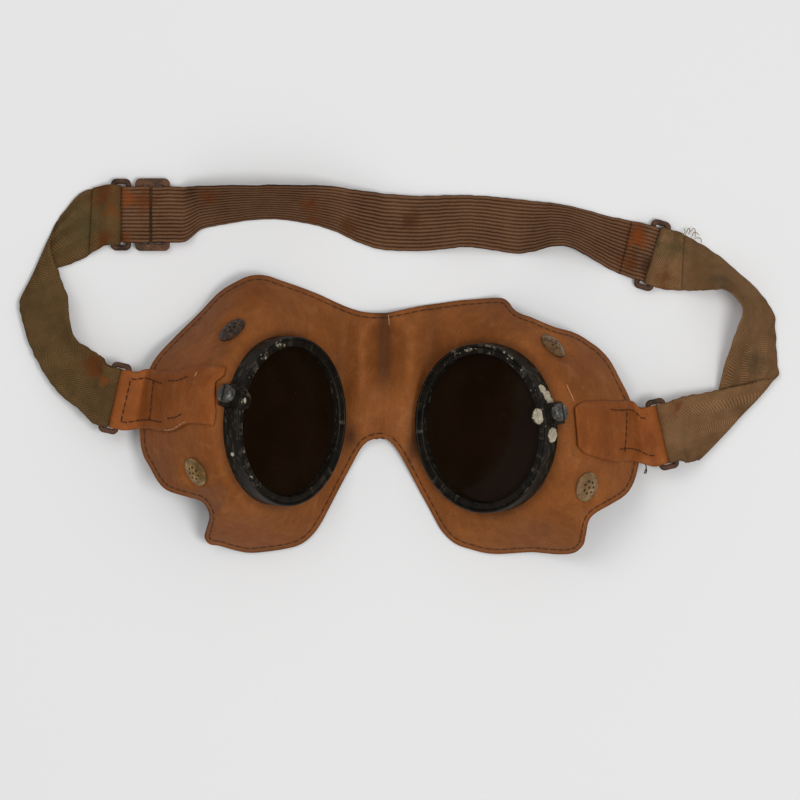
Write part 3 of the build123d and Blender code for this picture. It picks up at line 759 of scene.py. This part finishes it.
def worn_edges(rows, amount, seed):
    """The band's edges wander in and out a little."""
    side = unit(rows[:, 3:] - rows[:, :3])
    first = wander(rows[:, :3] + seed, 2.4, amount)[:, None]
    second = wander(rows[:, 3:] + seed, 2.4, amount)[:, None]
    return np.hstack([rows[:, :3] + side * first, rows[:, 3:] + side * second])


def build_webbing(side):
    flip = side == "right"
    path = WEBBINGS[side]
    start = hook(TAB_RINGS[side], 1, TAPE_WIDTH, TAPE, path, 9.0, False, flip)
    end = hook(STRAP_RINGS[side], 1, TAPE_WIDTH, TAPE, path[::-1], 7.5, True, flip)
    rows = smooth_rows(start + pairs(path) + end[::-1], 0.7)
    rows = worn_edges(rows, 0.45, 3.0)
    grid = ruffle(spread(rows, 26), 9.0, 0.35, 5.0, 34.0)
    webbing = band_object(f"webbing_{side}_tape", grid, row_lengths(rows), TAPE_WIDTH, TAPE * 0.88,
                          CLOTHS[f"webbing_{side}"])
    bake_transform(webbing)
    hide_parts(f"webbing_{side}")


def rib_relief(grid, lengths):
    """Lengthwise cords of the elastic, with the small waves of its crossing threads."""
    across = np.linspace(0, 1, grid.shape[1])
    cord = np.abs(np.sin(pi * across * ELASTIC_RIBS)) ** 0.7 - 0.6
    edge = smooth((0.5 - np.abs(across - 0.5)) * 22)
    cross = 0.25 * np.sin(lengths[:, None] * 2 * pi / 1.7 + across[None, :] * 40)
    return (cord[None, :] * RIB_HEIGHT * (1 + cross)) * edge[None, :]


def beside_slider(places, spare=0.0):
    """Edge pairs of the elastic where it runs straight by the slider, from the x and height of each."""
    return [((x, 76.8 + spare, z), (x, 58.8 - spare, z)) for x, z in places]


def build_elastic():
    """The long band, and the short doubled end that holds the slider."""
    end = hook(STRAP_RINGS["right"], -1, ELASTIC_WIDTH, ELASTIC, ELASTIC_PATH[::-1], 6.0, True, True)
    dive = beside_slider([(-75.3, 3.68), (-74.2, 3.85), (-72.4, 4.0), (-69.0, 3.95)])
    long_rows = worn_edges(smooth_rows(pairs(dive + ELASTIC_PATH) + end[::-1], 0.6), 0.2, 11.0)
    under = beside_slider([(-74.0, 0.8), (-68.5, 0.8), (DOUBLED_END, 0.8)])
    turn = hook(STRAP_RINGS["left"], -1, ELASTIC_WIDTH, ELASTIC, under, 4.0, True, True)[3:]
    top = beside_slider([(-76.2, 3.68), (-77.2, 3.85), (-79.0, 3.95)], 0.1)
    doubled_rows = smooth_rows(pairs(top) + turn + pairs(under), 0.6)
    for name, edges, bumps, seed in (("elastic_long", long_rows, 0.3, 2.0),
                                     ("elastic_doubled_end", doubled_rows, 0.04, 8.0)):
        lengths = row_lengths(edges)
        grid = ruffle(spread(edges, ELASTIC_RIBS * 5), 7.0, bumps, seed, 30.0)
        elastic = band_object(name, grid, lengths, ELASTIC_WIDTH, ELASTIC * 0.82, CLOTHS["elastic"],
                              rib_relief(grid, lengths))
        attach(elastic, "strap")
        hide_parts("elastic_band")


# ---- tabs ----

TAB_LEVEL = edge_top(77.0, 0.0) + TAPE / 2 + 0.15      # a tab's middle, out past the mask's edge
TAB_END_LIFT = {"left": 0.12, "right": 0.9}
SCREW_X = -53.8            # where the left tab stops beside the clamp screw,
SCREW_SPAN = (6.5, 13.5)   # between these two places across it
SHRINK_START = -66.0       # the tab is pulled back from here on


def drape(grid, run, surface, end_lift):
    """Lays a tab's grid on the mask. run is each row's distance past the loop, which stays as it is."""
    heights = grid[:, :, 2].copy()
    for r in range(len(grid)):
        held = 1 - smooth((run[r] - 0.5) / 5.0)
        for c in range(grid.shape[1]):
            rest = surface_rest(surface, grid[r, c, 0], grid[r, c, 1], TAB_REST)
            target = max(rest, TAB_LEVEL) if rest else TAB_LEVEL
            heights[r, c] = heights[r, c] * held + target * (1 - held)
    floor = heights.copy()
    for _ in range(6):
        heights[1:-1] = (heights[:-2] + 2 * heights[1:-1] + heights[2:]) / 4
        heights[:, 1:-1] = (heights[:, :-2] + 2 * heights[:, 1:-1] + heights[:, 2:]) / 4
        heights = np.where(run[:, None] > 3, np.maximum(heights, floor - 0.08), heights)
    start = int(np.searchsorted(run, 0.0))
    grid[start:, :, 2] = heights[start:]
    lifted = smooth((run - run[-1] + 5.0) / 5.0) * end_lift
    grid[:, :, 2] += lifted[:, None]
    return grid


def clear_of_screw(grid):
    """Pulls the left tab's inner end back where it would pass under the clamp screw."""
    x, y = grid[:, :, 0], grid[:, :, 1]
    low, high = SCREW_SPAN
    near = smooth((y - low + 3) / 3) * smooth((high + 2.5 - y) / 2.5)
    end = x[-1:]
    short = np.minimum(end, end * (1 - near[-1:]) + SCREW_X * near[-1:])
    share = np.clip((x - SHRINK_START) / (end - SHRINK_START), 0, None)
    grid[:, :, 0] = np.where(x > SHRINK_START, SHRINK_START + share * (short - SHRINK_START), x)
    return grid


def on_grid(surface_grid, lengths, s, t):
    """Point on a band at a distance along it and a share of its width."""
    row = np.interp(s, lengths, np.arange(len(lengths)))
    column = t * (surface_grid.shape[1] - 1)
    r, c = min(int(row), len(lengths) - 2), min(int(column), surface_grid.shape[1] - 2)
    fr, fc = row - r, column - c
    near = surface_grid[r, c] * (1 - fc) + surface_grid[r, c + 1] * fc
    far = surface_grid[r + 1, c] * (1 - fc) + surface_grid[r + 1, c + 1] * fc
    return near * (1 - fr) + far * fr


def line_on(surface_grid, lengths, start, end, steps=40):
    return [on_grid(surface_grid, lengths, *(np.array(start) + (np.array(end) - start) * k / steps))
            for k in range(steps + 1)]


# Seams of each tab: from and to, as distance past the loop in mm and share of the width.
TAB_SEAMS = {
    "left": {"dark": [((-1.2, 0.14), (21.5, 0.15)), ((24.0, 0.22), (34.0, 0.2)),
                      ((-1.2, 0.88), (20.5, 0.78)), ((22.5, 0.84), (35.0, 0.84)),
                      ((-1.2, 0.14), (-1.2, 0.88)), ((8.0, 0.13), (12.0, 0.83))],
             "pale": [((22.5, 0.02), (36.0, 0.03)), ((38.6, 0.8), (39.4, 0.97))]},
    "right": {"dark": [((-1.0, 0.83), (22.0, 0.86)), ((-1.0, 0.19), (17.0, 0.21)),
                       ((10.5, 0.14), (10.3, 0.88))],
              "pale": []},
}


def build_tab(side, surface):
    path = []
    for low, high in TAB_EDGES[side]:
        rests = [surface_rest(surface, *p, TAB_REST) or TAB_LEVEL for p in (low, high)]
        path.append(((*low, rests[0]), (*high, rests[1])))
    start = hook(TAB_RINGS[side], -1, TAPE_WIDTH, TAPE, path, 6.5, False)
    rows = smooth_rows(start + pairs(path), 0.6)
    lengths = row_lengths(rows)
    run = lengths - lengths[len(smooth_rows(start, 0.6)) - 1]
    grid = spread(rows, 34)
    if side == "left":
        grid = clear_of_screw(grid)
    grid = drape(grid, run, surface, TAB_END_LIFT[side])
    normals = grid_normals(grid)
    top = grid + normals * np.sign(normals[:, :, 2:]) * TAPE / 2
    seams = TAB_SEAMS[side]
    relief = np.zeros(grid.shape[:2])
    away, share = run[:, None], np.linspace(0, 1, grid.shape[1])[None, :]
    for (s0, t0), (s1, t1) in seams["dark"]:
        d = np.array([s1 - s0, (t1 - t0) * TAPE_WIDTH])
        k = np.clip(((away - s0) * d[0] + (share - t0) * TAPE_WIDTH * d[1]) / (d @ d), 0, 1)
        gap = np.hypot(away - s0 - k * d[0], (share - t0) * TAPE_WIDTH - k * d[1])
        relief -= 0.16 * np.exp(-(gap / 0.5) ** 2)
    tab = band_object(f"tab_{side}_leather", grid, lengths, TAPE_WIDTH, TAPE, LEATHERS["tab"], relief)
    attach(tab, "root")
    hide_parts(f"tab_{side}")
    for tone, lines in seams.items():
        stitches = []
        for (s0, t0), (s1, t1) in lines:
            stitches += stitches_along(line_on(top, run, (s0, t0), (s1, t1)), 0.22, 1.9, 2.3)
        if stitches:
            thread = strands_object(f"tab_{side}_stitches_{tone}", stitches, THREAD_R, THREADS[tone])


# ---- more materials ----

def woven_tape_material(name, dark, light, stains):
    """Herringbone cotton tape: diagonal ridges that turn at every stripe, from UVs in metres."""
    m = Nodes(name)
    u, v = m.uv_mm()
    zigzag = m.math("PINGPONG", v, 3.0)
    ridge = m.math("PINGPONG", m.plus(u, zigzag), 0.42)
    ridge = m.span(ridge, 0.03, 0.34)
    yarn = m.math("PINGPONG", m.plus(v, m.times(u, 0.35)), 0.17)
    yarn = m.span(yarn, 0.0, 0.17)
    wear = m.noise(130, 5, 0.62)
    fuzz = m.noise(1900, 3, 0.7)
    tone = m.weigh(ridge, 0.55, wear, 1.0)
    colour = m.mix(m.span(tone, 0.4, 1.1), dark, light)
    colour = m.shaded(colour, m.times(m.span(yarn, 0, 1, 0.88, 1.05), m.span(fuzz, 0.25, 0.75, 0.82, 1.14)))
    grime = m.span(m.noise(60, 4, 0.6), 0.5, 0.72)
    colour = m.mix(m.times(grime, 0.45), colour, rgb(0.05, 0.036, 0.018))
    colour = m.stained(colour, stains)
    height = m.weigh(ridge, 0.8, yarn, 0.3)
    bump = m.bump(fuzz, 0.00018, 0.6, m.bump(height, 0.00028, 0.9))
    m.set(Base_Color=colour, Roughness=0.92, Specular_IOR_Level=0.03, Normal=bump)
    return m.material


def elastic_material(name, dark, light, stains):
    """Ribbed elastic: the cords are in the mesh, and the fine cross threads are here."""
    m = Nodes(name)
    u, v = m.uv_mm()
    rib = m.math("PINGPONG", v, ELASTIC_WIDTH / ELASTIC_RIBS / 2)
    rib = m.span(rib, 0.02, 0.5)
    thread = m.math("PINGPONG", m.plus(u, m.times(v, 0.83)), 0.3)
    thread = m.span(thread, 0.0, 0.3)
    wear = m.noise(95, 5, 0.65)
    fuzz = m.noise(1700, 3, 0.7)
    tone = m.weigh(rib, 0.75, wear, 0.7)
    colour = m.mix(m.span(tone, 0.3, 1.15), dark, light)
    colour = m.shaded(colour, m.times(m.span(thread, 0, 1, 0.78, 1.1), m.span(fuzz, 0.25, 0.75, 0.8, 1.18)))
    colour = m.stained(colour, stains)
    height = m.plus(thread, m.times(fuzz, 0.6))
    m.set(Base_Color=colour, Roughness=0.9, Specular_IOR_Level=0.04,
          Normal=m.bump(height, 0.00022, 0.8))
    return m.material


def enamel_material(name, side, bare, worn_side, forehead_chips, rim):
    """Black enamel on a cup or bezel. bare lists patches rubbed through to pale metal. worn_side and
    forehead_chips say how much more the temple and the forehead sides are chipped, above the rim's height."""
    m = Nodes(name)
    climb, forehead, out = m.cup_place(side)
    angle = m.math("ARCTAN2", forehead, climb)
    streaks = m.add("ShaderNodeCombineXYZ", X=m.times(angle, 9.0),
                    Y=m.times(out, 0.9), Z=m.times(climb, 0.12)).outputs[0]
    streaks = m.noise(1.1, 6, 0.68, streaks)
    specks = m.noise(620, 6, 0.7)
    patches = m.noise(210, 5, 0.6)
    rims = m.span(out, rim, rim + 0.35)
    worn = m.times(m.span(climb, -2.0, 17.0), worn_side)
    chipped = m.times(m.span(forehead, 8.0, 22.0), forehead_chips)
    zone = m.weigh(worn, rims, chipped, rims)
    chips = m.span(m.plus(m.weigh(patches, 0.5, specks, 0.5), zone), 0.66, 0.71)
    scratches = m.plus(streaks, m.times(worn, 0.35))
    scratches = m.times(m.span(scratches, 0.55, 0.72), 0.8)
    enamel = m.mix(m.span(patches, 0.35, 0.7), rgb(0.005, 0.0042, 0.003), rgb(0.014, 0.011, 0.0075))
    colour = m.mix(scratches, enamel, rgb(0.10, 0.083, 0.058))
    metal = m.mix(m.span(specks, 0.42, 0.66), rgb(0.07, 0.06, 0.043), rgb(0.46, 0.41, 0.31))
    colour = m.mix(chips, colour, metal)
    pale = None
    for place, size in bare:
        spot = m.patch(cup_point(side, *place), size)
        pale = spot if pale is None else m.math("MAXIMUM", pale, spot)
    wear = m.math("MAXIMUM", chips, scratches)
    if pale is not None:
        rubbed = m.mix(m.span(specks, 0.3, 0.7), rgb(0.30, 0.26, 0.18), rgb(0.60, 0.54, 0.40))
        colour = m.mix(pale, colour, rubbed)
        wear = m.math("MAXIMUM", wear, pale)
    height = m.math("SUBTRACT", m.times(specks, 0.25), wear)
    m.set(Base_Color=colour, Roughness=m.span(wear, 0.0, 1.0, 0.4, 0.7), Specular_IOR_Level=0.13,
          Normal=m.bump(height, 0.00012, 0.7))
    return m.material


def glass_material(name):
    """Nearly black brown glass with a little dust."""
    m = Nodes(name)
    dust = m.noise(420, 6, 0.7)
    veil = m.noise(55, 4, 0.6)
    colour = m.mix(m.span(dust, 0.68, 0.78), rgb(0.0095, 0.0042, 0.0018), rgb(0.05, 0.04, 0.03))
    colour = m.mix(m.times(m.span(veil, 0.4, 0.75), 0.35), colour, rgb(0.022, 0.012, 0.006))
    m.set(Base_Color=colour, Roughness=m.span(dust, 0.45, 0.75, 0.07, 0.22), Specular_IOR_Level=0.14)
    return m.material


def metal_material(name, bright, dull, tarnish, metallic=0.85, cover=(0.42, 0.66), scale=420):
    m = Nodes(name)
    fine = m.noise(scale * 3, 5, 0.7)
    broad = m.noise(scale, 5, 0.62)
    colour = m.mix(m.span(broad, 0.35, 0.65), bright, dull)
    spots = m.span(m.weigh(broad, 0.6, fine, 0.4), *cover)
    colour = m.mix(spots, colour, tarnish)
    m.set(Base_Color=colour, Metallic=m.span(spots, 0, 1, metallic, metallic * 0.3),
          Roughness=m.span(spots, 0, 1, 0.32, 0.62),
          Normal=m.bump(m.math("SUBTRACT", fine, spots), 0.00008, 0.6))
    return m.material


def rust_material(name, base, rust, bright_rust):
    m = Nodes(name)
    fine = m.noise(1500, 5, 0.7)
    broad = m.noise(260, 5, 0.65)
    colour = m.mix(m.span(broad, 0.38, 0.6), base, rust)
    colour = m.mix(m.span(fine, 0.55, 0.72), colour, bright_rust)
    m.set(Base_Color=colour, Metallic=m.span(broad, 0.38, 0.55, 0.5, 0.0), Roughness=0.74,
          Normal=m.bump(fine, 0.0002, 0.9))
    return m.material


def cup_point(side, degrees_round, radius, out):
    """Point on a cup, in millimetres about the bridge. The angle runs from the temple to the forehead."""
    seat, axis = EYES[side]
    climb, forehead = cup_axes(side)
    turn = radians(degrees_round)
    return seat + (climb * cos(turn) + forehead * sin(turn)) * radius + axis * out


LEATHERS = {"mask": leather_material("tan_leather", rgb(0.262, 0.088, 0.024), rgb(0.198, 0.062, 0.015)),
            "tab": leather_material("tab_leather", rgb(0.275, 0.083, 0.020), rgb(0.20, 0.056, 0.0125))}
THREADS = {"dark": thread_material("dark_thread", rgb(0.035, 0.014, 0.008), rgb(0.075, 0.03, 0.014)),
           "pale": thread_material("pale_thread", rgb(0.36, 0.17, 0.075), rgb(0.5, 0.28, 0.14)),
           "khaki": thread_material("khaki_thread", rgb(0.16, 0.10, 0.045), rgb(0.3, 0.2, 0.1))}
RUST = rgb(0.14, 0.036, 0.009)
BRIGHT_RUST = rgb(0.25, 0.062, 0.011)
GREEN_KHAKI = rgb(0.085, 0.068, 0.028)
CLOTHS = {
    "webbing_left": woven_tape_material(
        "khaki_tape_left", rgb(0.072, 0.041, 0.0155), rgb(0.185, 0.107, 0.043),
        [((-90.5, 75.0, 2), 6.5, RUST), ((-88.0, 68.0, 2), 4.0, BRIGHT_RUST), ((-91, 60.0, 2), 5.0, RUST),
         ((-93.5, 19.0, 9.5), 6.0, RUST), ((-90.0, 14.0, 9.5), 3.5, BRIGHT_RUST),
         ((-98.0, 64.0, 1.0), 9.0, GREEN_KHAKI)]),
    "webbing_right": woven_tape_material(
        "khaki_tape_right", rgb(0.135, 0.068, 0.027), rgb(0.29, 0.158, 0.074),
        [((90.5, 58.0, 1), 8.0, GREEN_KHAKI), ((89.0, 47.0, 1), 5.0, RUST), ((93.0, 5.5, 9.5), 4.0, RUST),
         ((119.0, 20.0, 3), 6.0, rgb(0.10, 0.066, 0.036)), ((106.0, 47.0, 12), 5.0, rgb(0.12, 0.08, 0.045))]),
    "elastic": elastic_material(
        "brown_elastic", rgb(0.040, 0.0175, 0.008), rgb(0.215, 0.108, 0.056),
        [((-78.0, 72.5, 4), 5.5, RUST), ((-83.5, 73.0, 4), 4.5, BRIGHT_RUST), ((-84.0, 60.0, 4), 4.0, RUST),
         ((-57.0, 73.0, 10), 4.5, RUST), ((-25.0, 70.0, 9), 5.0, RUST), ((-23.0, 65.0, 4), 3.5, RUST),
         ((-12.0, 64.0, 4), 5.0, rgb(0.10, 0.034, 0.012)), ((7.5, 66.0, 2), 4.5, rgb(0.08, 0.03, 0.012)),
         ((80.0, 62.0, 2), 5.5, RUST), ((78.5, 53.0, 2), 5.0, RUST), ((82.0, 60.0, 3), 4.0, BRIGHT_RUST),
         ((84.0, 51.0, 3), 4.5, rgb(0.045, 0.02, 0.012))]),
}


def dress_cad_nodes():
    """Materials for the metal and glass parts, whose shapes are the CAD's own."""
    brass = (rgb(0.36, 0.215, 0.065), rgb(0.24, 0.135, 0.04))
    finishes = {
        "eyecup_left": enamel_material("enamel_cup_left", "left", [((-25, 27.1, 2.6), 0.7)], 0.07, 0.05, 5.3),
        "eyecup_right": enamel_material(
            "enamel_cup_right", "right",
            [((14.5, 27.2, 1.6), 1.9), ((19.0, 27.2, 2.2), 1.9), ((23.5, 27.2, 3.0), 1.7),
             ((-8.5, 27.2, 2.4), 2.4)], 0.07, 0.09, 5.3),
        "lens_bezel_left": enamel_material("enamel_bezel_left", "left", [((14.0, 24.2, 5.3), 1.0)],
                                           0.1, 0.06, 5.1),
        "lens_bezel_right": enamel_material("enamel_bezel_right", "right", [((5.5, 24.2, 5.3), 2.6)],
                                            0.03, 0.1, 5.1),
        "vent_cap_upper_left": metal_material("brass_dark", rgb(0.17, 0.08, 0.03), rgb(0.07, 0.032, 0.013),
                                              rgb(0.02, 0.009, 0.004), 0.7, (0.36, 0.52), 900),
        "vent_cap_lower_left": metal_material("brass_olive", *brass, rgb(0.05, 0.026, 0.010), 0.85),
        "vent_cap_upper_right": metal_material("brass_brown", rgb(0.30, 0.16, 0.055), rgb(0.19, 0.098, 0.033),
                                               rgb(0.05, 0.024, 0.010), 0.85),
        "vent_cap_lower_right": metal_material("brass_pale", rgb(0.42, 0.26, 0.11), rgb(0.28, 0.165, 0.07),
                                               rgb(0.10, 0.048, 0.018), 0.8),
        "slider_buckle": rust_material("rusty_slider", rgb(0.055, 0.032, 0.016), rgb(0.12, 0.042, 0.013),
                                       rgb(0.19, 0.085, 0.03)),
    }
    glass = glass_material("brown_glass")
    screw = metal_material("screw_steel", rgb(0.21, 0.20, 0.18), rgb(0.095, 0.09, 0.08),
                           rgb(0.022, 0.02, 0.017), 0.95, (0.42, 0.6))
    steel = metal_material("bare_steel", rgb(0.3, 0.28, 0.25), rgb(0.17, 0.15, 0.13), rgb(0.06, 0.04, 0.028))
    washer = metal_material("brass_washer", *brass, rgb(0.06, 0.03, 0.012))
    ring = rust_material("rusty_wire", rgb(0.03, 0.018, 0.012), rgb(0.085, 0.03, 0.010),
                         rgb(0.17, 0.06, 0.016))
    for side in EYES:
        finishes[f"lens_{side}"] = glass
        finishes[f"clamp_screw_{side}"] = screw
        finishes[f"cup_back_ring_{side}"] = steel
        finishes[f"tab_ring_{side}"] = ring
        finishes[f"strap_ring_{side}"] = ring
    for node in frame["nodes"]:
        if node.startswith("vent_washer"):
            finishes[node] = washer
    for node, material in finishes.items():
        obj = frame["nodes"][node]
        obj.data.materials.clear()
        obj.data.materials.append(material)


def curl(start, end, bulge):
    """Loose thread between two places, bowed sideways."""
    t = np.linspace(0, 1, 14)[:, None]
    return np.array(start) * (1 - t) + np.array(end) * t + np.array(bulge) * np.sin(t * pi)


def build_loose_threads():
    """Threads that have frayed from the cut end of the right webbing and the seam of its tab."""
    frays = [curl((96.2, 60.8, 3.0), (97.8, 61.6, 2.6), (0.6, 2.2, 0.6)),
             curl((97.2, 61.4, 3.0), (99.6, 60.4, 2.6), (0.9, 2.4, 0.4)),
             curl((98.4, 60.6, 3.0), (100.9, 61.2, 2.2), (-0.2, 1.2, 0.5)),
             curl((99.2, 60.0, 3.0), (101.6, 58.6, 2.2), (0.8, 0.9, 0.4)),
             curl((95.2, 61.2, 3.0), (96.0, 63.4, 2.6), (0.7, -0.2, 0.4))]
    strands_object("loose_threads_webbing", frays, 0.13, THREADS["khaki"], "strap")
    seam = [curl((82.4, -11.2, 9.6), (82.9, -15.4, 8.8), (0.9, 0.0, 0.2)),
            curl((82.9, -15.4, 8.8), (83.6, -13.4, 8.8), (0.4, -0.7, 0.0))]
    strands_object("loose_threads_tab", seam, 0.2, THREADS["dark"])


skin = build_mask()
build_mask_stitching(skin)
for eye in EYES:
    build_tab(eye, skin)
    build_webbing(eye)
build_elastic()
build_loose_threads()
dress_cad_nodes()


# ---- camera, lights and floor: metres ----

CAMERA_PLACE = (0.00015, -0.01058, 2.0)
PICTURE_WIDTH = 0.2581     # on the floor
SENSOR = 36                # mm
ROOM_LIGHT = (0.12, 0.6)   # strength at the horizon and high up


def build_camera():
    """Straight above the goggles."""
    data = bpy.data.cameras.new("camera")
    data.sensor_width = SENSOR
    data.lens = SENSOR * CAMERA_PLACE[2] / PICTURE_WIDTH
    data.clip_start = 0.1
    camera = bpy.data.objects.new("camera", data)
    camera.location = CAMERA_PLACE
    bpy.context.scene.collection.objects.link(camera)
    bpy.context.scene.camera = camera


def area_light(name, place, size, power):
    """Round lamp that points at the middle of the floor."""
    data = bpy.data.lights.new(name, "AREA")
    data.shape = "DISK"
    data.size = size
    data.energy = power
    light = bpy.data.objects.new(name, data)
    light.location = place
    light.rotation_euler = (-Vector(place)).to_track_quat("-Z", "Y").to_euler()
    bpy.context.scene.collection.objects.link(light)


def build_studio():
    scene = bpy.context.scene
    scene.view_settings.view_transform = "Standard"
    world = bpy.data.worlds.new("soft_room")
    world.use_nodes = True
    tree = world.node_tree
    tree.nodes["Background"].inputs["Color"].default_value = rgb(1, 1, 1)
    height = tree.nodes.new("ShaderNodeSeparateXYZ")
    tree.links.new(tree.nodes.new("ShaderNodeTexCoord").outputs["Generated"], height.inputs[0])
    ramp = tree.nodes.new("ShaderNodeMapRange")
    tree.links.new(height.outputs["Z"], ramp.inputs["Value"])
    for key, number in zip(RANGE_ENDS, (0.0, 0.9, *ROOM_LIGHT)):
        ramp.inputs[key].default_value = number
    tree.links.new(ramp.outputs[0], tree.nodes["Background"].inputs["Strength"])
    scene.world = world
    area_light("key", (0.42, -0.2, 1.35), 0.45, 7.5)
    area_light("fill", (-0.45, 0.4, 1.3), 0.8, 3.8)
    floor_mesh = bpy.data.meshes.new("floor")
    floor_mesh.from_pydata([(-4, -4, 0), (4, -4, 0), (4, 4, 0), (-4, 4, 0)], [], [(0, 1, 2, 3)])
    floor = bpy.data.objects.new("floor", floor_mesh)
    scene.collection.objects.link(floor)
    m = Nodes("floor_paper")
    m.set(Base_Color=rgb(0.82, 0.82, 0.82), Roughness=0.9, Specular_IOR_Level=0.1)
    floor.data.materials.append(m.material)


build_camera()
build_studio()
